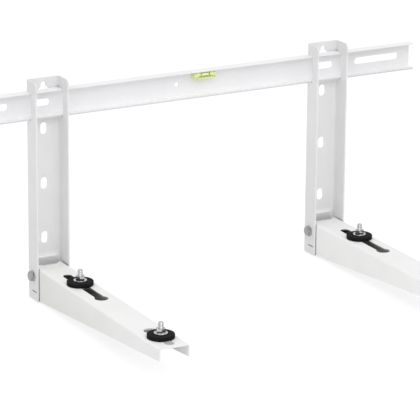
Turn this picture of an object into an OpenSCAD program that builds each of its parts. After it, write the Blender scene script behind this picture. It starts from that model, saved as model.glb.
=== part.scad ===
// Wall bracket for an air conditioner outdoor unit.
// Millimetres. X runs along the wall bar, Y points into the wall, Z is up.
// The origin is on the wall plane at the middle of the bar, half way up its web.

/* [Sheet] */
// thickness of the folded sheet steel
sheet_t = 2; // [1.5:0.5:3]
// inside radius of every bend in the sheet
bend_ri = 1.5; // [1.5:0.5:3]

/* [Wall bar] */
// length of the bar along the wall
bar_l = 800; // [600:10:1100]
// height of the bar's web over its two flanges
bar_h = 42; // [34:1:60]
// how far the bar's flanges stand off the wall
bar_d = 16; // [12:1:24]
// height of the slots in the bar's web
bar_slot_w = 11; // [7:0.5:14]
// length of the long slot near each end of the bar
bar_long_slot = 81; // [40:1:120]
// from the end of the bar to the long slot
bar_slot_end = 20; // [12:1:40]
// length of the short slot behind each upright
bar_short_slot = 29; // [20:1:36]
// centre of a short slot outwards from the middle of its upright
bar_short_off = 4; // [0:0.5:8]
// diameter of the small marking hole near the middle of the bar
bar_hole_d = 7.5; // [4:0.5:10]
// distance of that hole to the left of the middle
bar_hole_x = 17; // [12:1:40]

/* [Bubble level] */
// length of the level block
level_l = 35; // [30:1:60]
// height of the level block
level_h = 11; // [9:0.5:16]
// depth of the level block off the bar's web
level_d = 12; // [9:0.5:14]
// left end of the level block from the middle of the bar
level_x = 9; // [0:0.5:20]
// diameter of the glass-like vial
vial_d = 8; // [5:0.5:9]
// length of the vial
vial_l = 27; // [20:1:28]

/* [Uprights] */
// from an end of the bar to the middle of the upright nearest it
upright_from_end = 159; // [130:1:220]
// width of an upright over its flanges
up_w = 54; // [46:1:70]
// depth of an upright's flanges off the wall
up_d = 33; // [28:1:50]
// height of an upright
up_h = 338; // [280:1:460]
// height of an upright above the middle of the bar
up_over = 38; // [32:1:60]
// radius of the front corners at the top of the flanges
up_corner_r = 6; // [2:0.5:12]
// width of the fixing slots in an upright's web
web_slot_w = 11; // [7:0.5:14]
// length of the fixing slots in an upright's web
web_slot_l = 18.5; // [14:0.5:30]
// distance between the fixing slots
web_slot_pitch = 85; // [60:1:110]
// first fixing slot below the middle of the bar
web_slot_first = 40; // [34:1:60]
// width of the open slot in the tab above the bar
key_w = 8.5; // [6:0.5:12]
// half width of the pressed lip above the arm
lip_half = 18; // [12:0.5:18.5]
// how far the lip's upper edge is pressed forward of the web
lip_raise = 3; // [2.8:0.2:4]
// upper edge of the lip above the top of the arm
lip_over_arm = 8; // [4:0.5:20]
// length of the lance mark low on the flanges
lance_l = 15; // [8:1:20]
// height of the lance mark
lance_h = 1.6; // [1:0.2:3]

/* [Arms] */
// reach of an arm's tip from the wall
arm_reach = 420; // [340:5:560]
// depth of an arm where it leaves the upright
arm_root_h = 51; // [44:1:60]
// depth of an arm at its tip
arm_tip_h = 18.5; // [14:0.5:40]
// foot of the arm above the foot of the upright
arm_foot_up = 0.5; // [0:0.5:4]
// side gap between an arm and the upright's flange
arm_side_gap = 1; // [0.3:0.1:1.4]
// width of an arm's slots
arm_slot_w = 14; // [9:0.5:16]
// diameter of the eye at one end of each arm slot
arm_eye_d = 20.5; // [17:0.5:24]
// plain rear end of the long slot from the wall
rear_slot_from = 73.5; // [60:0.5:90]
// front end of the long slot, at its eye, from the wall
rear_slot_to = 203; // [160:1:220]
// length of the short slot, whose eye is at the rear
front_slot_l = 75.5; // [50:0.5:100]
// plain front end of the short slot to the arm's tip
front_slot_tip = 7.5; // [6:0.5:30]

/* [Arm bolts] */
// thread diameter of every bolt, stud and nut
thread_d = 8; // [6:1:10]
// width across flats of every hexagon
hex_af = 13; // [10:1:17]
// diameter of the collar under a flanged head or nut
collar_d = 17; // [14:0.5:20]
// height of a flanged head or nut with its collar
head_h = 6; // [5:0.5:9]
// thickness of the collar
collar_t = 1.6; // [1:0.2:2.4]
// bolt axis from the wall
bolt_y = 16.5; // [12:0.5:22]
// bolt axis below the top of the arm
bolt_down = 14.5; // [12:0.5:25]
// play of a bolt in its hole, on the diameter
hole_play = 1; // [0.5:0.5:2]
// play of a thread in its nut, on the diameter
nut_play = 0.2; // [0.1:0.1:0.4]
// thread left beyond a nut
thread_over = 2.5; // [1:0.5:5]

/* [Unit mounts] */
// rear rubber pad from the wall
pad_rear_y = 123; // [105:1:160]
// front rubber pad from the arm's tip
pad_front_tip = 41.5; // [36:0.5:56]
// diameter of a rubber pad
pad_d = 40; // [30:0.5:42]
// thickness of a rubber pad
pad_t = 6; // [4:0.5:12]
// edge chamfer of a rubber pad
pad_edge = 0.8; // [0.4:0.2:2]
// diameter of the washer on a pad
washer_d = 20; // [16:0.5:24]
// thickness of the washers
washer_t = 1.6; // [1:0.2:2.4]
// diameter of the wide washer under the arm
under_d = 24; // [20:0.5:30]
// height of the nut on a pad
nut_h = 6.5; // [5:0.5:8]
// height of the stud's head under the arm
stud_head_h = 5.3; // [4:0.1:7]
// top of the stud above the top of the arm
stud_over = 23; // [18:0.5:40]

/* [Hidden] */
$fn = 40;
eps = 0.01;
far = 60;
bend_ro = bend_ri + sheet_t;
up_top = up_over;
up_foot = up_top - up_h;
up_x = bar_l / 2 - upright_from_end;
bar_short_x = up_x + bar_short_off;
bar_top = bar_h / 2;
bar_gap = 0.5;
notch_d = bar_d + bar_gap;
notch_foot = -bar_top - bar_gap;
arm_w = up_w - 2 * sheet_t - 2 * arm_side_gap;
arm_foot = up_foot + arm_foot_up;
arm_top = arm_foot + arm_root_h;
arm_gap = bend_ri - arm_side_gap;
arm_back = sheet_t + bend_ri - sqrt(bend_ri * bend_ri - arm_gap * arm_gap) + 0.1;
arm_top_back = 9;
arm_clear_back = 19;
tip_foot = arm_top - arm_tip_h;
bolt_z = arm_top - bolt_down;
bolt_hole = thread_d + hole_play;
web_slots = [for (i = [0:2]) -web_slot_first - i * web_slot_pitch];
lip_top = arm_top + lip_over_arm;
lip_h = 12;
lip_slope = 3;
key_top = bar_top + 11;
lance_z = up_foot + 13.5;
lance_y = 21.5;
pad_hole = thread_d + 0.6;
washer_hole = thread_d + 0.6;
pad_top = arm_top + pad_t;
front_slot_to = arm_reach - front_slot_tip;
front_slot_from = front_slot_to - front_slot_l;
pad_front_y = arm_reach - pad_front_tip;

// Flat shape w wide and d deep with its two back corners (at y = 0) rounded.
module round_back(w, d, r) {
  translate([-w / 2, -d]) square([w, d - r]);
  translate([-w / 2 + r, -d]) square([w - 2 * r, d]);
  for (s = [-1, 1])
    translate([s * (w / 2 - r), -r]) circle(r);
}

// Folded channel: web at y = 0, flanges towards -y.
module channel(w, d) {
  difference() {
    round_back(w, d, bend_ro);
    translate([0, -sheet_t]) round_back(w - 2 * sheet_t, d + far, bend_ri);
  }
}

// Shape drawn in (y, z) and carried w wide across x.
module across(w) {
  translate([-w / 2, 0, 0]) rotate([90, 0, 90]) linear_extrude(w) children();
}

// Shape drawn in (x, z) and carried through the wall side, from y = -d to y = 1.
module through_web(d) {
  translate([0, 1, 0]) rotate([90, 0, 0]) linear_extrude(d + 1) children();
}

// Slot l long and w wide along x, with round ends.
module slot(l, w) {
  square([l - w, w], center = true);
  for (s = [-1, 1])
    translate([s * (l - w) / 2, 0]) circle(w / 2);
}

// Slot along -y from its plain round end to its wider eye.
module keyed_slot(plain, eye) {
  towards = sign(eye - plain);
  w = arm_slot_w / 2;
  a = plain + towards * w;
  b = eye - towards * arm_eye_d / 2;
  translate([0, -a]) circle(w);
  translate([0, -b]) circle(arm_eye_d / 2);
  translate([-w, -max(a, b)]) square([arm_slot_w, abs(b - a)]);
}

// Hexagonal prism h high, width hex_af across its flats.
module hexagon(h) {
  cylinder(h = h, r = hex_af / sqrt(3), $fn = 6);
}

// Hexagon with a collar, from z = 0 to z = h.
module flanged_hex(h) {
  cylinder(h = collar_t, d = collar_d);
  hexagon(h);
}

module wall_bar() {
  color("#eceeee")
  difference() {
    translate([-bar_l / 2, 0, 0]) rotate([0, 90, 0]) linear_extrude(bar_l) channel(bar_h, bar_d);
    through_web(far) {
      for (s = [-1, 1]) {
        translate([s * (bar_l / 2 - bar_slot_end - bar_long_slot / 2), 0]) slot(bar_long_slot, bar_slot_w);
        translate([s * bar_short_x, 0]) slot(bar_short_slot, bar_slot_w);
      }
      translate([-bar_hole_x, 0]) circle(bar_hole_d / 2);
    }
  }
}

level_z = bar_top - sheet_t - level_h;
vial_z = level_z + level_h / 2;
vial_y = -sheet_t - level_d + vial_d / 2 + 0.8;

// Block of the level, open at the front over its vial, its back top edge rounded to sit in the bar's bend.
module level_block() {
  color("#c8d84a")
  difference() {
    translate([level_x + level_l / 2, 0, level_z]) across(level_l) {
      translate([-sheet_t - level_d, 0]) square([level_d, level_h - bend_ri]);
      translate([-sheet_t - level_d, 0]) square([level_d - bend_ri, level_h]);
      translate([-sheet_t - bend_ri, level_h - bend_ri]) circle(bend_ri);
    }
    translate([level_x + (level_l - vial_l) / 2, vial_y, vial_z]) rotate([0, 90, 0]) cylinder(h = vial_l, d = vial_d);
    translate([level_x + (level_l - vial_l) / 2, -far, vial_z - vial_d / 2]) cube([vial_l, far + vial_y, vial_d]);
  }
}

module level_vial() {
  color("#e3f07a")
  translate([level_x + (level_l - vial_l) / 2, vial_y, vial_z]) rotate([0, 90, 0]) cylinder(h = vial_l, d = vial_d);
}

// Lip lanced free along its upper edge: it slopes back into the web at its sides and foot.
module lip(back) {
  intersection() {
    translate([0, back - sheet_t, lip_top - lip_h]) linear_extrude(lip_h)
      polygon([[-lip_half - lip_slope, 0], [-lip_half, -lip_raise], [lip_half, -lip_raise],
        [lip_half + lip_slope, 0], [lip_half + lip_slope, 1], [-lip_half - lip_slope, 1]]);
    translate([0, back - sheet_t, 0]) across(up_w)
      polygon([[0, lip_top - lip_h], [-lip_raise, lip_top], [1, lip_top], [1, lip_top - lip_h]]);
  }
}

// One upright about its own middle, the same for both sides.
module upright() {
  difference() {
    union() {
      translate([0, 0, up_foot]) linear_extrude(up_h) channel(up_w, up_d);
      lip(0);
    }
    lip(sheet_t);
    // room for the bar, which carries the tab above it
    across(up_w + 2) polygon([[1, notch_foot], [-notch_d, notch_foot], [-notch_d, bar_top], [1, bar_top]]);
    // rounded front corners at the top
    across(up_w + 2)
      difference() {
        translate([-up_d - 1, up_top - up_corner_r]) square([up_corner_r + 1, up_corner_r + 1]);
        translate([-up_d + up_corner_r, up_top - up_corner_r]) circle(up_corner_r);
      }
    through_web(sheet_t + lip_raise + 2) {
      for (z = web_slots)
        translate([0, z]) rotate(90) slot(web_slot_l, web_slot_w);
      translate([0, key_top - key_w / 2]) circle(key_w / 2);
      translate([-key_w / 2, bar_top - 1]) square([key_w, key_top - bar_top + 1 - key_w / 2]);
      polygon([[-key_w, bar_top - 1], [-key_w, bar_top], [-key_w / 2, bar_top + 4],
        [key_w / 2, bar_top + 4], [key_w, bar_top], [key_w, bar_top - 1]]);
    }
    across(up_w + 2) {
      translate([-bolt_y, bolt_z]) circle(bolt_hole / 2);
      translate([-lance_y, lance_z]) slot(lance_l, lance_h);
    }
  }
}

// One arm about the middle of its upright.
module arm() {
  difference() {
    translate([0, 0, arm_top]) rotate([90, 0, 0]) linear_extrude(arm_reach) channel(arm_w, arm_root_h);
    // taper under the arm
    across(arm_w + 2)
      polygon([[-up_d - 3, arm_foot - far], [-up_d - 3, arm_foot], [-arm_reach - 1, tip_foot],
        [-arm_reach - 1, arm_foot - far]]);
    // back edge of the sides: it bears on the web low down and stands clear above
    across(arm_w + 2)
      polygon([[1, arm_foot - 1], [-arm_back, arm_foot - 1], [-arm_back, bolt_z - 4], [-arm_top_back, bolt_z + 7],
        [-arm_top_back, arm_top + 1], [1, arm_top + 1]]);
    translate([0, 0, arm_top - bend_ro]) linear_extrude(bend_ro + 1) {
      // back of the top, cut clear of the pressed lip
      polygon([[-arm_w / 2 + bend_ro, 1], [-arm_w / 2 + bend_ro, -arm_top_back - 1], [-12, -arm_clear_back],
        [12, -arm_clear_back], [arm_w / 2 - bend_ro, -arm_top_back - 1], [arm_w / 2 - bend_ro, 1]]);
      keyed_slot(rear_slot_from, rear_slot_to);
      keyed_slot(front_slot_to, front_slot_from);
    }
    across(arm_w + 2) translate([-bolt_y, bolt_z]) circle(bolt_hole / 2);
  }
}

// Places a fastener at an upright's flange; s is the side the head points to.
module at_flange(x, s, off) {
  translate([x + s * off, -bolt_y, bolt_z]) rotate([0, s * 90, 0]) children();
}

// Bolt with its head on the outside of the flange.
module arm_bolt() {
  grip = sheet_t * 2 + arm_side_gap + head_h + thread_over;
  color("#b9bcbe") {
    flanged_hex(head_h);
    translate([0, 0, -grip]) cylinder(h = grip + eps, d = thread_d);
  }
}

// Nut inside the arm, its collar against the arm's side.
module arm_nut() {
  color("#b9bcbe")
  difference() {
    rotate([180, 0, 0]) flanged_hex(head_h);
    translate([0, 0, -head_h - 1]) cylinder(h = head_h + 2, d = thread_d + nut_play);
  }
}

module rubber_pad() {
  color("#1c1c1c")
  rotate_extrude()
    polygon([[pad_hole / 2, 0], [pad_d / 2 - pad_edge, 0], [pad_d / 2, pad_edge],
      [pad_d / 2, pad_t - pad_edge], [pad_d / 2 - pad_edge, pad_t], [pad_hole / 2, pad_t]]);
}

module washer(d) {
  color("#c9cbcd")
  difference() {
    cylinder(h = washer_t, d = d);
    translate([0, 0, -1]) cylinder(h = washer_t + 2, d = washer_hole);
  }
}

module pad_nut() {
  color("#b9bcbe")
  difference() {
    hexagon(nut_h);
    translate([0, 0, -1]) cylinder(h = nut_h + 2, d = thread_d + nut_play);
  }
}

// Stud with its head under the arm, from the underside of the wide washer up.
module mount_stud() {
  below = sheet_t + washer_t;
  color("#b9bcbe") {
    translate([0, 0, -below - stud_head_h]) hexagon(stud_head_h);
    translate([0, 0, -below - eps]) cylinder(h = below + stud_over + eps - 1, d = thread_d);
    translate([0, 0, stud_over - 1 - eps]) cylinder(h = 1 + eps, d1 = thread_d, d2 = thread_d - 2);
  }
}

// Places a mount's piece: s = -1 left or 1 right, y from the wall, z from the top of the arm.
module at_mount(s, y, z) {
  translate([s * up_x, -y, arm_top + z]) children();
}

module left_upright() { color("#e6e8e7") translate([-up_x, 0, 0]) upright(); }
module right_upright() { color("#e6e8e7") translate([up_x, 0, 0]) upright(); }
module left_arm() { color("#eeefeb") translate([-up_x, 0, 0]) arm(); }
module right_arm() { color("#eeefeb") translate([up_x, 0, 0]) arm(); }

head_off = up_w / 2;
nut_off = arm_w / 2 - sheet_t;
module left_outer_bolt() { at_flange(-up_x, -1, head_off) arm_bolt(); }
module left_inner_bolt() { at_flange(-up_x, 1, head_off) arm_bolt(); }
module right_outer_bolt() { at_flange(up_x, 1, head_off) arm_bolt(); }
module right_inner_bolt() { at_flange(up_x, -1, head_off) arm_bolt(); }
module left_outer_nut() { at_flange(-up_x, -1, nut_off) arm_nut(); }
module left_inner_nut() { at_flange(-up_x, 1, nut_off) arm_nut(); }
module right_outer_nut() { at_flange(up_x, 1, nut_off) arm_nut(); }
module right_inner_nut() { at_flange(up_x, -1, nut_off) arm_nut(); }

module left_rear_pad() { at_mount(-1, pad_rear_y, 0) rubber_pad(); }
module left_front_pad() { at_mount(-1, pad_front_y, 0) rubber_pad(); }
module right_rear_pad() { at_mount(1, pad_rear_y, 0) rubber_pad(); }
module right_front_pad() { at_mount(1, pad_front_y, 0) rubber_pad(); }
module left_rear_washer() { at_mount(-1, pad_rear_y, pad_t) washer(washer_d); }
module left_front_washer() { at_mount(-1, pad_front_y, pad_t) washer(washer_d); }
module right_rear_washer() { at_mount(1, pad_rear_y, pad_t) washer(washer_d); }
module right_front_washer() { at_mount(1, pad_front_y, pad_t) washer(washer_d); }
module left_rear_pad_nut() { at_mount(-1, pad_rear_y, pad_t + washer_t) pad_nut(); }
module left_front_pad_nut() { at_mount(-1, pad_front_y, pad_t + washer_t) pad_nut(); }
module right_rear_pad_nut() { at_mount(1, pad_rear_y, pad_t + washer_t) pad_nut(); }
module right_front_pad_nut() { at_mount(1, pad_front_y, pad_t + washer_t) pad_nut(); }
module left_rear_stud() { at_mount(-1, pad_rear_y, 0) mount_stud(); }
module left_front_stud() { at_mount(-1, pad_front_y, 0) mount_stud(); }
module right_rear_stud() { at_mount(1, pad_rear_y, 0) mount_stud(); }
module right_front_stud() { at_mount(1, pad_front_y, 0) mount_stud(); }
module left_rear_under() { at_mount(-1, pad_rear_y, -sheet_t - washer_t) washer(under_d); }
module left_front_under() { at_mount(-1, pad_front_y, -sheet_t - washer_t) washer(under_d); }
module right_rear_under() { at_mount(1, pad_rear_y, -sheet_t - washer_t) washer(under_d); }
module right_front_under() { at_mount(1, pad_front_y, -sheet_t - washer_t) washer(under_d); }

wall_bar();
level_block();
level_vial();
left_upright();
right_upright();
left_arm();
right_arm();
left_outer_bolt();
left_inner_bolt();
right_outer_bolt();
right_inner_bolt();
left_outer_nut();
left_inner_nut();
right_outer_nut();
right_inner_nut();
left_rear_pad();
left_front_pad();
right_rear_pad();
right_front_pad();
left_rear_washer();
left_front_washer();
right_rear_washer();
right_front_washer();
left_rear_pad_nut();
left_front_pad_nut();
right_rear_pad_nut();
right_front_pad_nut();
left_rear_stud();
left_front_stud();
right_rear_stud();
right_front_stud();
left_rear_under();
left_front_under();
right_rear_under();
right_front_under();
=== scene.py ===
import math
from functools import reduce

import bmesh
import bpy
from mathutils import Matrix, Vector


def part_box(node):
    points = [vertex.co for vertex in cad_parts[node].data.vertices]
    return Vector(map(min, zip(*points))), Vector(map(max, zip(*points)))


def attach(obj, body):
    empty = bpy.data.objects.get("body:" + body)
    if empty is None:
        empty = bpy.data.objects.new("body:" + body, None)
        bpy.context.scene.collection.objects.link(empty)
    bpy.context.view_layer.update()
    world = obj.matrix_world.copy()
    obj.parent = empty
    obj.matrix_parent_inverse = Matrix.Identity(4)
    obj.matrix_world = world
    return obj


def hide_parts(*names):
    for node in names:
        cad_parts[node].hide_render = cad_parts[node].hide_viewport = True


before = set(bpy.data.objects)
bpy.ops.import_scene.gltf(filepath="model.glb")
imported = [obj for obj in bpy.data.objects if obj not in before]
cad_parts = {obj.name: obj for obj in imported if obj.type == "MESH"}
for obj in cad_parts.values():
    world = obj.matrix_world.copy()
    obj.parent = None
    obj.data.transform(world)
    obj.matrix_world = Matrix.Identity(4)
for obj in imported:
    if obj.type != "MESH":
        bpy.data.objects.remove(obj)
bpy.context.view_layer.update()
scene = bpy.context.scene

# Places and sizes read from the solids, in metres
MOUNTS = {}
for side in ("left", "right"):
    for row in ("rear", "front"):
        lo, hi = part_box(side + "_" + row + "_pad")
        MOUNTS[side + "_" + row] = ((lo[0] + hi[0]) / 2, (lo[1] + hi[1]) / 2)
ARM_TOP, PAD_R, PAD_T = lo[2], (hi[0] - lo[0]) / 2, hi[2] - lo[2]
UPRIGHT_X = MOUNTS["right_rear"][0]
lo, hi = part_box("left_outer_bolt")
BOLT_Y, BOLT_Z = (lo[1] + hi[1]) / 2, (lo[2] + hi[2]) / 2
lo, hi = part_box("left_upright")
UPRIGHT_HALF, UPRIGHT_FOOT = (hi[0] - lo[0]) / 2, lo[2]

# Sizes that aren't read from the solids
SHEET = 0.002
SIDE_GAP = 0.001
BAR_TOP, BAR_DEPTH = 0.021, 0.016
WASHER_T, WASHER_R, WIDE_WASHER_R, WASHER_BORE = 0.0016, 0.010, 0.012, 0.0043
NUT_H, NUT_BORE = 0.0065, 0.0041
AF, THREAD_R, PITCH = 0.013, 0.004, 0.00125
STUD_OVER, STUD_HEAD_H = 0.023, 0.0053
COLLAR_R, COLLAR_T, HEAD_H = 0.0085, 0.0022, 0.006
BOLT_OVER = 0.0025
# How far each nut happens to be turned, in degrees
NUT_TURN = {"left_rear": 31.6, "left_front": 41.6, "right_rear": 31.6, "right_front": 24.0}

CAMERA_AT = (-1.96971, -3.66201, 1.10784)
CAMERA_RIGHT = (0.87751, -0.47948, 0.00836)
CAMERA_UP = (0.13711, 0.26755, 0.95374)
CAMERA_LENS = 241.9

# Each lamp's place, the point it faces, and its power in watts
LAMP_SIZE = 1.6
LAMPS = {
    "lamp_top_front": ((-0.3, -2.6, 2.2), (0, -0.2, -0.1), 21.3),
    "lamp_front": ((-1.0, -4.2, 1.0), (0, -0.2, -0.2), 3.2),
    "lamp_right": ((2.6, -2.2, 0.9), (0, -0.2, -0.2), 5.9),
}
# Strength of the world at the horizon and overhead, and what its front and left add
WORLD_LOW, WORLD_HIGH, WORLD_FRONT, WORLD_LEFT = 0.636, 0.984, 0.147, 0.261
# Painted dark reflections, as of boards: the direction in plan that their angles are measured from, and how
# much light they take
REFLECTION_DARK_X, REFLECTION_DARK_Y, REFLECTION_DARKNESS = -0.476, -0.879, 0.92

FLOOR_HALF, FLOOR_DROP, FLOOR_TONE = 14.0, 0.0015, 0.8
# To the camera the floor is white with a faint shadow: this share of it glows, the rest is lit
FLOOR_SHARE, FLOOR_GLOW = 0.75, 1.12
# How far before the wall the painted dark reflections on the floor are centred
FLOOR_CENTRE_Y = 0.16


class Graph:
    """Short ways to build a node tree; most return the socket to link from."""

    def __init__(self, tree):
        self.tree = tree

    def new(self, kind, **values):
        n = self.tree.nodes.new(kind)
        for key, value in values.items():
            if key in n.inputs:
                n.inputs[key].default_value = value
            else:
                setattr(n, key, value)
        return n

    def feed(self, socket, value):
        if isinstance(value, (int, float)):
            socket.default_value = value
        else:
            self.tree.links.new(value, socket)

    def calc(self, op, a, b=None):
        n = self.new("ShaderNodeMath", operation=op)
        self.feed(n.inputs[0], a)
        if b is not None:
            self.feed(n.inputs[1], b)
        return n.outputs[0]

    def plus(self, *values):
        return reduce(lambda a, b: self.calc("ADD", a, b), values)

    def minus(self, a, b):
        return self.calc("SUBTRACT", a, b)

    def product(self, *values):
        return reduce(lambda a, b: self.calc("MULTIPLY", a, b), values)

    def below(self, a, limit):
        return self.calc("LESS_THAN", a, limit)

    def above(self, a, limit):
        return self.calc("GREATER_THAN", a, limit)

    def absolute(self, a):
        return self.calc("ABSOLUTE", a)

    def place(self, kind="Object"):
        return self.new("ShaderNodeTexCoord").outputs[kind]

    def light_path(self, kind):
        return self.new("ShaderNodeLightPath").outputs[kind]

    def split(self, vector):
        n = self.new("ShaderNodeSeparateXYZ")
        self.feed(n.inputs[0], vector)
        return n.outputs

    def remap(self, value, lo, hi, a, b):
        n = self.new("ShaderNodeMapRange", **{"From Min": lo, "From Max": hi, "To Min": a, "To Max": b})
        self.feed(n.inputs["Value"], value)
        return n.outputs["Result"]

    def noise(self, coords, scale, detail):
        n = self.new("ShaderNodeTexNoise", Scale=scale, Detail=detail)
        self.feed(n.inputs["Vector"], coords)
        return n.outputs["Fac"]

    def ramp(self, value, *stops):
        n = self.new("ShaderNodeValToRGB")
        points = n.color_ramp.elements
        while len(points) < len(stops):
            points.new(0.5)
        for point, (at, colour) in zip(points, stops):
            point.position = at
            point.color = (*colour, 1.0)
        self.feed(n.inputs["Fac"], value)
        return n.outputs["Color"]

    def bump(self, height, strength, distance, under=None):
        n = self.new("ShaderNodeBump", Strength=strength, Distance=distance)
        self.feed(n.inputs["Height"], height)
        if under is not None:
            self.feed(n.inputs["Normal"], under)
        return n.outputs["Normal"]

    def blend(self, share, a, b):
        """Mix of two colours: all b where the share is 1."""
        n = self.new("ShaderNodeMix", data_type="RGBA")
        for socket, value in zip((n.inputs["Factor"], n.inputs[6], n.inputs[7]), (share, a, b)):
            self.feed(socket, value)
        return n.outputs[2]

    def scaled(self, colour, factor):
        n = self.new("ShaderNodeVectorMath", operation="SCALE")
        self.feed(n.inputs[0], colour)
        self.feed(n.inputs["Scale"], factor)
        return n.outputs[0]

    def white_to_camera(self, lit, white, share=1.0):
        """Shader that camera rays see as white, or white by a share, and all other rays see lit."""
        mix = self.new("ShaderNodeMixShader")
        self.feed(mix.inputs["Fac"], self.product(self.light_path("Is Camera Ray"), share))
        self.feed(mix.inputs[1], lit)
        self.feed(mix.inputs[2], white)
        return mix.outputs["Shader"]


def material(name):
    """New material, its graph and the inputs of its surface shader."""
    m = bpy.data.materials.new(name)
    m.use_nodes = True
    return m, Graph(m.node_tree), m.node_tree.nodes["Principled BSDF"].inputs


def shade(colour, factor):
    return tuple(c * factor for c in colour)


# White powder coat

# Grey of the painted shade inside the arms and on their slots' edges, and its share from near the tip (0) to
# the root (1)
ARM_SHADE_GREY = (0.12, 0.12, 0.113)
ARM_SHADE_SHARES = ((0.0, 0.0), (0.186, 0.21), (0.371, 0.57), (0.686, 0.57), (0.829, 0.88), (1.0, 1.0))
ARM_SHADE_FROM, ARM_SHADE_TO = -0.40, -0.05
# Half widths, with a margin, of the arm slots' eyes and of the room between the arm's sides
SLOT_HALF, ARM_INNER_HALF = 0.0108, 0.0227


def painted_arm_shade(g, x, y, z, cloud, x_mid):
    """Share and colour of the painted shade inside an arm and on the edges of its slots."""
    off = g.absolute(g.minus(x, x_mid))
    level = g.minus(ARM_TOP - 0.0001, g.product(g.above(off, SLOT_HALF), SHEET - 0.0002))
    inside = g.product(g.below(off, ARM_INNER_HALF), g.below(z, level))
    along = g.remap(y, ARM_SHADE_FROM, ARM_SHADE_TO, 0.0, 1.0)
    shadow_share = g.ramp(along, *((at, (share,) * 3) for at, share in ARM_SHADE_SHARES))
    return g.product(inside, shadow_share), g.ramp(cloud, (0.3, ARM_SHADE_GREY), (0.7, shade(ARM_SHADE_GREY, 1.15)))


def painted_corner_shade(g):
    """Painted shade in narrow corners and gaps, from ambient occlusion: 1 on open faces."""
    near = g.new("ShaderNodeAmbientOcclusion", samples=12, Distance=0.007)
    n = g.new("ShaderNodeFloatCurve")
    curve = n.mapping.curves[0]
    curve.points[0].location = (0.0, 0.08)
    curve.points[1].location = (1.0, 1.0)
    for at in ((0.28, 0.45), (0.5, 0.92), (0.62, 1.0)):
        curve.points.new(*at)
    n.mapping.update()
    g.feed(n.inputs["Value"], near.outputs["AO"])
    return n.outputs[0]


def bar_painted_light(g, x, y, z):
    """Painted light and shade on the bar: lighter towards its long edges, on its top face and foot, darker on
    its lower cut edge and towards its right end.
    """
    not_top = g.below(z, BAR_TOP - 0.0005)
    foot = g.below(z, -BAR_TOP + 0.0025)
    high = g.remap(z, 0.004, 0.020, 0.0, 0.05)
    low = g.remap(z, -0.002, -0.020, 0.0, 0.08)
    top = g.product(g.above(z, BAR_TOP - 0.0005), 0.02)
    cut_edge = g.product(foot, g.below(y, -BAR_DEPTH + 0.0004), 0.32)
    right_end = g.product(g.remap(x, 0.25, 0.29, 0.0, 0.06), not_top)
    lightened = g.plus(high, low, top, g.product(foot, 0.05), 1.0)
    return g.minus(lightened, g.plus(cut_edge, right_end))


def upright_painted_light(g, x, y, z):
    """Painted light and shade: darker on the tab above the bar and lower down the outer faces, lighter on the
    lip.
    """
    off = g.absolute(g.minus(g.absolute(x), UPRIGHT_X))
    tab = g.remap(z, 0.016, 0.022, 0.0, 0.09)
    outer = g.product(g.above(off, UPRIGHT_HALF - 0.0004), g.remap(z, -0.03, -0.22, 0.0, 0.085))
    lip = g.product(g.below(off, UPRIGHT_HALF - 0.004), g.remap(z, -0.232, -0.242, 0.0, 0.13))
    return g.plus(g.minus(g.minus(1.0, tab), outer), lip)


def arm_side_painted_light(rear, front):
    """Painted light and shade on an arm's sides: factors of the tint near the wall and half way along."""
    def share(g, x, y, z):
        along = g.remap(y, -0.03, -0.25, rear - 1.0, front - 1.0)
        side = g.remap(z, ARM_TOP - 0.0008, ARM_TOP - 0.0034, 0.0, 1.0)
        return g.plus(1.0, g.product(side, along))
    return share


def powder_coat(name, tint, painted_light, inner_of=None, tip_tint=None):
    """Orange peel, faint clouding and slightly uneven gloss, with painted light and shade by place and painted
    shade in corners; inner_of is the middle of an arm, whose inside gets painted shade.
    """
    m, g, shader = material(name)
    co = g.place()
    x, y, z = g.split(co)
    cloud = g.noise(co, 22.0, 4.0)

    def clouded(colour):
        return g.ramp(cloud, (0.35, shade(colour, 0.975)), (0.65, colour))

    colour = clouded(tint)
    if tip_tint is not None:
        colour = g.blend(g.remap(y, -0.16, -0.34, 0.0, 1.0), colour, clouded(tip_tint))
    # painted light and shade of the part
    colour = g.scaled(colour, painted_light(g, x, y, z))
    if inner_of is not None:
        # painted shade inside the arm and on its slots' edges
        share, shadow_grey = painted_arm_shade(g, x, y, z, cloud, inner_of)
        colour = g.blend(share, colour, shadow_grey)
    # painted shade in corners and gaps
    g.feed(shader["Base Color"], g.scaled(colour, painted_corner_shade(g)))
    peel, grain = g.noise(co, 620.0, 2.0), g.noise(co, 2600.0, 2.0)
    g.feed(shader["Roughness"], g.remap(peel, 0.3, 0.7, 0.42, 0.52))
    g.feed(shader["Normal"], g.bump(grain, 0.12, 0.0001, g.bump(peel, 0.22, 0.0004)))
    shader["Specular IOR Level"].default_value = 0.4
    return m


# Metal, rubber and lime plastic

def mottled(name, clouds, stops, grain, rough, relief=None):
    """Mottled colour and fine grain; clouds and grain are scale and detail of their noise."""
    m, g, shader = material(name)
    co = g.place()
    g.feed(shader["Base Color"], g.ramp(g.noise(co, *clouds), *stops))
    fine = g.noise(co, *grain)
    g.feed(shader["Roughness"], g.remap(fine, 0.3, 0.7, *rough))
    if relief is not None:
        g.feed(shader["Normal"], g.bump(fine, *relief))
    return m, shader


def zinc(name, tint, rough):
    m, shader = mottled(name, (380.0, 3.0), ((0.3, shade(tint, 0.86)), (0.7, tint)),
                        (1800.0, 2.0), (rough - 0.03, rough + 0.05), (0.06, 0.0001))
    shader["Metallic"].default_value = 1.0
    return m


def rubber(name, low, high):
    m, shader = mottled(name, (260.0, 5.0), ((0.35, low), (0.7, high)),
                        (1500.0, 3.0), (0.62, 0.78), (0.3, 0.0002))
    shader["Specular IOR Level"].default_value = 0.13
    return m


def acrylic(name, tint, deep, rough):
    m, shader = mottled(name, (90.0, 2.0), ((0.3, deep), (0.7, tint)), (700.0, 2.0), (rough, rough + 0.06))
    shader["IOR"].default_value = 1.49
    return m


# One white coat: its tints and factors differ a little between the bar, the arms and the uprights as painted
# light and shade.
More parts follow.
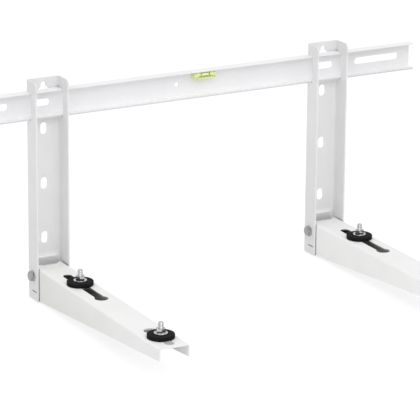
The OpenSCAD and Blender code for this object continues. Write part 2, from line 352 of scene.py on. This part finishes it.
COATS = {
    "wall_bar": powder_coat("powder_coat_bar", (0.815, 0.815, 0.825), bar_painted_light),
    "left_arm": powder_coat("powder_coat_left_arm", (0.84, 0.845, 0.82), arm_side_painted_light(0.92, 1.03),
                            -UPRIGHT_X, (0.845, 0.845, 0.845)),
    "right_arm": powder_coat("powder_coat_right_arm", (0.845, 0.845, 0.84), arm_side_painted_light(1.02, 1.09),
                             UPRIGHT_X),
}
COATS["left_upright"] = powder_coat("powder_coat_white", (0.83, 0.83, 0.835), upright_painted_light)
COATS["right_upright"] = COATS["left_upright"]
ZINC = zinc("zinc_bright", (0.72, 0.73, 0.74), 0.09)
ZINC_DULL = zinc("zinc_dull", (0.60, 0.61, 0.62), 0.38)
ZINC_HEAD = zinc("zinc_head", (0.46, 0.47, 0.48), 0.22)
RUBBER = rubber("rubber_black", (0.004, 0.004, 0.005), (0.010, 0.010, 0.011))
LIME = acrylic("acrylic_lime", (0.80, 0.87, 0.42), (0.74, 0.83, 0.33), 0.18)
VIAL = acrylic("vial_liquid", (0.76, 0.83, 0.42), (0.70, 0.78, 0.33), 0.08)
PALE = acrylic("vial_bubble", (0.87, 0.91, 0.62), (0.83, 0.88, 0.55), 0.10)
OLIVE = acrylic("vial_rings", (0.24, 0.29, 0.06), (0.19, 0.23, 0.04), 0.3)


# Mesh helpers

def skin(name, rings, mat, loop=False, angle=30.0):
    """Skins rings of equal length: closed at both ends, or with the last ring joined to the first."""
    bm = bmesh.new()
    verts = [[bm.verts.new(p) for p in ring] for ring in rings]
    n = len(rings[0])
    pairs = list(zip(verts, verts[1:]))
    if loop:
        pairs.append((verts[-1], verts[0]))
    for a, b in pairs:
        for i in range(n):
            j = (i + 1) % n
            bm.faces.new((a[i], a[j], b[j], b[i]))
    if not loop:
        bm.faces.new(verts[0])
        bm.faces.new(verts[-1])
    bmesh.ops.recalc_face_normals(bm, faces=bm.faces[:])
    me = bpy.data.meshes.new(name)
    bm.to_mesh(me)
    bm.free()
    me.materials.append(mat)
    for p in me.polygons:
        p.use_smooth = True
    me.set_sharp_from_angle(angle=math.radians(angle))
    return me


def circle_ring(r, z, n):
    return [(r * math.cos(2 * math.pi * i / n), r * math.sin(2 * math.pi * i / n), z) for i in range(n)]


def lathe(name, profile, mat, n=64, loop=True, angle=35.0):
    """Turned body; its profile of (radius, height) points closes on itself unless loop is off."""
    return skin(name, [circle_ring(r, z, n) for r, z in profile], mat, loop, angle)


def rounded(profile, r, steps=4):
    """Closed (radius, height) outline with its corners rounded."""
    out = []
    k = len(profile)
    for i in range(k):
        p = Vector(profile[i])
        a = Vector(profile[i - 1]) - p
        b = Vector(profile[(i + 1) % k]) - p
        d = min(r, a.length * 0.45, b.length * 0.45)
        a.normalize()
        b.normalize()
        s, e = p + a * d, p + b * d
        for t in range(steps + 1):
            f = t / steps
            out.append(tuple(s * (1 - f) ** 2 + p * 2 * f * (1 - f) + e * f * f))
    return out


def disc(name, bore, r, t, edge, mat, n=64, steps=4):
    """Washer, pad or pin with rounded edges, from z = 0 up."""
    return lathe(name, rounded([(bore, 0.0), (r, 0.0), (r, t), (bore, t)], edge, steps), mat, n)


def thread_depth(phase):
    """Depth share of the thread, 0 at the crest and 1 at the root."""
    t = abs(phase % 1.0 - 0.5) * 2
    return min(max((t - 0.12) / 0.76, 0.0), 1.0)


def threaded_rings(z0, z1, n=32, per_turn=8, tip=0.0009, root=0.88):
    """Rings of a threaded rod whose top end is chamfered."""
    rings = []
    count = max(2, int((z1 - z0) / PITCH * per_turn))
    for k in range(count + 1):
        z = z0 + (z1 - z0) * k / count
        cap = 1.0 - 0.22 * max(0.0, 1 - (z1 - z) / tip)
        ring = []
        for i in range(n):
            th = 2 * math.pi * i / n
            r = min(THREAD_R * (1 - (1 - root) * thread_depth(z / PITCH - i / n)), THREAD_R * cap)
            ring.append((r * math.cos(th), r * math.sin(th), z))
        rings.append(ring)
    return rings


def hex_radius(th):
    f = (th + math.pi / 6) % (math.pi / 3) - math.pi / 6
    return AF / 2 / math.cos(f)


def hex_rings(z0, z1, bottom, top, n=96):
    """Rings of a hexagon whose ends are turned down to a chamfer where bottom or top is set."""
    turned_r = AF / 2 * 0.97
    slope = math.tan(math.radians(28))
    angles = [2 * math.pi * i / n for i in range(n)]
    full = [hex_radius(th) for th in angles]
    turned = [min(r, turned_r) for r in full]
    drop = [max(0.0, r - turned_r) * slope for r in full]

    def ring(radii, z, lift=0.0):
        return [(r * math.cos(th), r * math.sin(th), z + lift * d) for th, r, d in zip(angles, radii, drop)]

    rings = [ring(turned if bottom else full, z0)]
    if bottom:
        rings.append(ring(full, z0, 1.0))
    rings.append(ring(full, z1, -1.0 if top else 0.0))
    if top:
        rings.append(ring(turned, z1))
    return rings


def nut_mesh(name, z0, z1, bottom, mat, flare=0.0006):
    """Hexagon nut with a countersunk bore."""
    rings = hex_rings(z0, z1, bottom, True)
    bore = ((NUT_BORE + flare, z1), (NUT_BORE, z1 - flare), (NUT_BORE, z0 + flare), (NUT_BORE + flare, z0))
    rings += [circle_ring(r, z, len(rings[0])) for r, z in bore]
    return skin(name, rings, mat, True, 28.0)


def capsule(name, r, half, mat, n=32, steps=8):
    """Rod with round ends along z."""
    turns = [math.pi / 2 * k / steps for k in range(1, steps)]
    profile = [(r * math.sin(f), -half - r * math.cos(f)) for f in turns]
    profile += [(r, -half), (r, half)]
    profile += [(r * math.cos(f), half + r * math.sin(f)) for f in turns]
    return lathe(name, profile, mat, n, False, 60.0)


def loop_tube(name, r, half, lightened, mat, steps=10, n=12):
    """Thin rim around a bubble: a long round-ended loop in the x, z plane."""
    rings = []
    for end in (1, -1):
        for k in range(steps + 1):
            f = math.pi / 2 - math.pi * k / steps
            c, d = math.cos(f) * end, math.sin(f) * end
            p, out = Vector((end * half + r * c, 0, r * d)), Vector((c, 0, d))
            ring = []
            for i in range(n):
                th = 2 * math.pi * i / n
                ring.append(tuple(p + out * lightened * math.cos(th) + Vector((0, 1, 0)) * lightened * math.sin(th)))
            rings.append(ring)
    return skin(name, rings, mat, True, 60.0)


def piece(name, me, loc, stands_for=(), rot=None):
    ob = bpy.data.objects.new(name, me)
    ob.location = loc
    if rot:
        ob.rotation_euler = rot
    scene.collection.objects.link(ob)
    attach(ob, "root")
    if stands_for:
        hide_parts(*stands_for)


# The object

def dress(node, mat):
    """CAD piece that keeps its shape and gets a finish."""
    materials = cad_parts[node].data.materials
    materials.clear()
    materials.append(mat)


def make_mounts():
    """Rubber pads, washers, nuts and studs of the four mounts."""
    pad = disc("pad", WASHER_BORE, PAD_R, PAD_T, 0.0011, RUBBER, 72)
    washer = disc("washer", WASHER_BORE, WASHER_R, WASHER_T, 0.0004, ZINC)
    under = disc("under", WASHER_BORE, WIDE_WASHER_R, WASHER_T, 0.0004, ZINC_DULL)
    nut = nut_mesh("pad_nut", 0.0, NUT_H, True, ZINC)
    below = SHEET + WASHER_T
    rod = skin("stud_rod", threaded_rings(-below, STUD_OVER), ZINC, False, 60.0)
    head = skin("stud_head", hex_rings(-below - STUD_HEAD_H, -below, True, False), ZINC, False, 28.0)
    for key, (x, y) in MOUNTS.items():
        turned = (0.0, 0.0, math.radians(NUT_TURN[key]))
        piece(key + "_rubber", pad, (x, y, ARM_TOP), [key + "_pad"])
        piece(key + "_disc", washer, (x, y, ARM_TOP + PAD_T), [key + "_washer"])
        piece(key + "_hexnut", nut, (x, y, ARM_TOP + PAD_T + WASHER_T), [key + "_pad_nut"], turned)
        piece(key + "_thread", rod, (x, y, ARM_TOP), [key + "_stud"])
        piece(key + "_head", head, (x, y, ARM_TOP))
        piece(key + "_wide_disc", under, (x, y, ARM_TOP - below), [key + "_under"])


def make_arm_bolts():
    """Flanged bolts at the feet of the uprights and their flanged nuts inside the arms."""
    hex_foot, rim_t = 0.0015, 0.0009
    grip = 2 * SHEET + SIDE_GAP + HEAD_H + BOLT_OVER
    skirt = rounded([(0.0, 0.0), (COLLAR_R, 0.0), (COLLAR_R, rim_t), (AF / 2 * 1.02, COLLAR_T),
                     (0.0, COLLAR_T)], 0.0002, 2)
    collar = lathe("collar", [p for p in skirt if p[0] > 1e-6], ZINC_HEAD, 64, False)
    head = skin("bolt_head", hex_rings(hex_foot, HEAD_H, False, True), ZINC_HEAD, False, 28.0)
    downward = [[(x, y, -z) for x, y, z in ring] for ring in threaded_rings(0.0, grip)]
    shank = skin("bolt_thread", downward, ZINC, False, 60.0)
    nut_collar = lathe("nut_collar", rounded([(NUT_BORE, 0.0), (COLLAR_R, 0.0), (COLLAR_R, rim_t),
                                              (0.0062, COLLAR_T), (NUT_BORE, COLLAR_T)], 0.0002, 2), ZINC_DULL)
    nut = nut_mesh("arm_nut", hex_foot, HEAD_H, False, ZINC_DULL)
    nut_seat = UPRIGHT_HALF - 2 * SHEET - SIDE_GAP
    for side, middle, outward in (("left", -UPRIGHT_X, -1), ("right", UPRIGHT_X, 1)):
        for where, s in (("outer", outward), ("inner", -outward)):
            tag = side + "_" + where
            turn, back = (0.0, s * math.pi / 2, 0.0), (0.0, -s * math.pi / 2, 0.0)
            at = (middle + s * UPRIGHT_HALF, BOLT_Y, BOLT_Z)
            piece(tag + "_bolt_collar", collar, at, [tag + "_bolt"], turn)
            piece(tag + "_bolt_head", head, at, (), turn)
            piece(tag + "_bolt_thread", shank, at, (), turn)
            at = (middle + s * nut_seat, BOLT_Y, BOLT_Z)
            piece(tag + "_nut_collar", nut_collar, at, [tag + "_nut"], back)
            piece(tag + "_nut_hex", nut, at, (), back)


def make_level():
    """Bubble level: lime block and vial, two rings, two end plugs, a bubble with its rim, four pins."""
    dress("level_block", LIME)
    dress("level_vial", VIAL)
    along, forward = (0.0, math.pi / 2, 0.0), (math.pi / 2, 0.0, 0.0)
    lo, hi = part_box("level_vial")
    r = (hi[2] - lo[2]) / 2
    cx, cy, cz = [(a + b) / 2 for a, b in zip(lo, hi)]

    ring_w, ring_t = 0.0005, 0.0003
    ring = lathe("vial_ring", rounded([(r, -ring_w), (r + ring_t, -ring_w), (r + ring_t, ring_w), (r, ring_w)],
                                      0.0001, 2), OLIVE, 48)
    for k, dx in enumerate((-0.0072, 0.0072)):
        piece("level_ring_" + str(k), ring, (cx + dx, cy, cz), (), along)

    plug_bore, plug_r, plug_w = 0.0006, r + 0.00015, 0.0012
    plug = lathe("vial_plug", rounded([(plug_bore, -plug_w), (plug_r, -plug_w), (plug_r, plug_w),
                                       (plug_bore, plug_w)], 0.0003, 3), PALE, 48)
    for k, x in enumerate((lo[0] + 0.0013, hi[0] - 0.0013)):
        piece("level_plug_" + str(k), plug, (x, cy, cz), (), along)

    bubble_r, bubble_half = 0.0024, 0.0034
    bubble_x, bubble_z, vial_front = cx - 0.0002, cz + 0.0006, cy - r
    bubble = capsule("vial_bubble", bubble_r, bubble_half, PALE)
    piece("level_bubble", bubble, (bubble_x, vial_front + 0.0021, bubble_z), (), along)
    rim = loop_tube("bubble_rim", bubble_r, bubble_half, 0.00035, OLIVE)
    piece("level_bubble_rim", rim, (bubble_x, vial_front + 0.0006, bubble_z))

    lo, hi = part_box("level_block")
    pin_bore, pin_r, pin_t = 0.0002, 0.0009, 0.0006
    pin = disc("level_pin", pin_bore, pin_r, pin_t, 0.0002, OLIVE, 24, 3)
    for k, x in enumerate((lo[0] + 0.0022, hi[0] - 0.0022)):
        for j, z in enumerate((lo[2] + 0.0018, hi[2] - 0.0022)):
            piece("level_pin_%d_%d" % (k, j), pin, (x, lo[1] + 0.0002, z), (), forward)


# Camera, light and floor

def place_camera():
    cam = bpy.data.cameras.new("camera")
    cam.lens = CAMERA_LENS
    cam.sensor_width = 36.0
    cam.clip_end = 100
    ob = bpy.data.objects.new("camera", cam)
    right, up = Vector(CAMERA_RIGHT), Vector(CAMERA_UP)
    right.normalize()
    up = (up - right * up.dot(right)).normalized()
    m = Matrix((right, up, right.cross(up))).transposed().to_4x4()
    m.translation = Vector(CAMERA_AT)
    ob.matrix_world = m
    scene.collection.objects.link(ob)
    scene.camera = ob


def painted_dark_reflections(g, along):
    """Painted dark reflections, as of two dark boards beside the camera, seen only by glossy rays: 1 away from
    them.
    """
    x, y, z = g.split(along)
    flat = g.calc("SQRT", g.plus(g.product(x, x), g.product(y, y)))
    facing = g.plus(g.product(x, REFLECTION_DARK_X), g.product(y, REFLECTION_DARK_Y))
    turn = g.calc("DIVIDE", facing, g.calc("MAXIMUM", flat, 0.001))
    near = g.remap(turn, 0.02, 0.22, 0.0, 1.0)
    far = g.remap(turn, 0.62, 0.80, 1.0, 0.0)
    low = g.remap(z, 0.45, 0.65, 1.0, 0.0)
    dark_share = g.product(g.product(near, far), g.product(low, g.light_path("Is Glossy Ray")))
    return g.minus(1.0, g.product(dark_share, REFLECTION_DARKNESS))


def make_lights():
    for name, (at, aim, power) in LAMPS.items():
        lamp = bpy.data.lights.new(name, "AREA")
        lamp.shape = "SQUARE"
        lamp.size = LAMP_SIZE
        lamp.energy = power
        ob = bpy.data.objects.new(name, lamp)
        ob.location = at
        ob.rotation_euler = (Vector(aim) - Vector(at)).to_track_quat("-Z", "Y").to_euler()
        scene.collection.objects.link(ob)

    world = bpy.data.worlds.new("studio")
    world.use_nodes = True
    g = Graph(world.node_tree)
    lit = world.node_tree.nodes["Background"]
    lit.inputs["Color"].default_value = (1, 1, 1, 1)
    direction = g.place("Generated")
    x, y, z = g.split(direction)
    plain = g.plus(g.remap(z, 0.0, 1.0, WORLD_LOW, WORLD_HIGH),
                   g.remap(y, 0.0, -1.0, 0.0, WORLD_FRONT),
                   g.remap(x, 0.0, -1.0, 0.0, WORLD_LEFT))
    g.feed(lit.inputs["Strength"], g.product(plain, painted_dark_reflections(g, direction)))
    white = g.new("ShaderNodeBackground", Color=(1, 1, 1, 1))
    seen = g.white_to_camera(lit.outputs["Background"], white.outputs["Background"])
    g.feed(world.node_tree.nodes["World Output"].inputs["Surface"], seen)
    scene.world = world


def make_floor():
    s, z = FLOOR_HALF, UPRIGHT_FOOT - FLOOR_DROP
    me = bpy.data.meshes.new("floor")
    me.from_pydata([(-s, -s, z), (s, -s, z), (s, s, z), (-s, s, z)], [], [(0, 1, 2, 3)])
    ob = bpy.data.objects.new("floor", me)
    scene.collection.objects.link(ob)
    m, g, shader = material("floor_white")
    shader["Roughness"].default_value = 0.9
    # the floor's colour is darkened for glossy rays only before the rear half of each arm, as a painted
    # reflection
    x, y, z = g.split(g.place())
    from_arm = g.new("ShaderNodeCombineXYZ")
    g.feed(from_arm.inputs[0], g.minus(x, g.product(g.calc("SIGN", x), UPRIGHT_X)))
    g.feed(from_arm.inputs[1], g.plus(y, FLOOR_CENTRE_Y))
    g.feed(from_arm.inputs[2], z)
    g.feed(shader["Base Color"], g.product(painted_dark_reflections(g, from_arm.outputs[0]), FLOOR_TONE))
    glow = g.new("ShaderNodeEmission", Strength=FLOOR_GLOW)
    lit = m.node_tree.nodes["Principled BSDF"].outputs["BSDF"]
    seen = g.white_to_camera(lit, glow.outputs["Emission"], FLOOR_SHARE)
    g.feed(m.node_tree.nodes["Material Output"].inputs["Surface"], seen)
    me.materials.append(m)


place_camera()
for node, coat in COATS.items():
    dress(node, coat)
make_mounts()
make_arm_bolts()
make_level()
make_lights()
make_floor()

scene.view_settings.view_transform = "Standard"
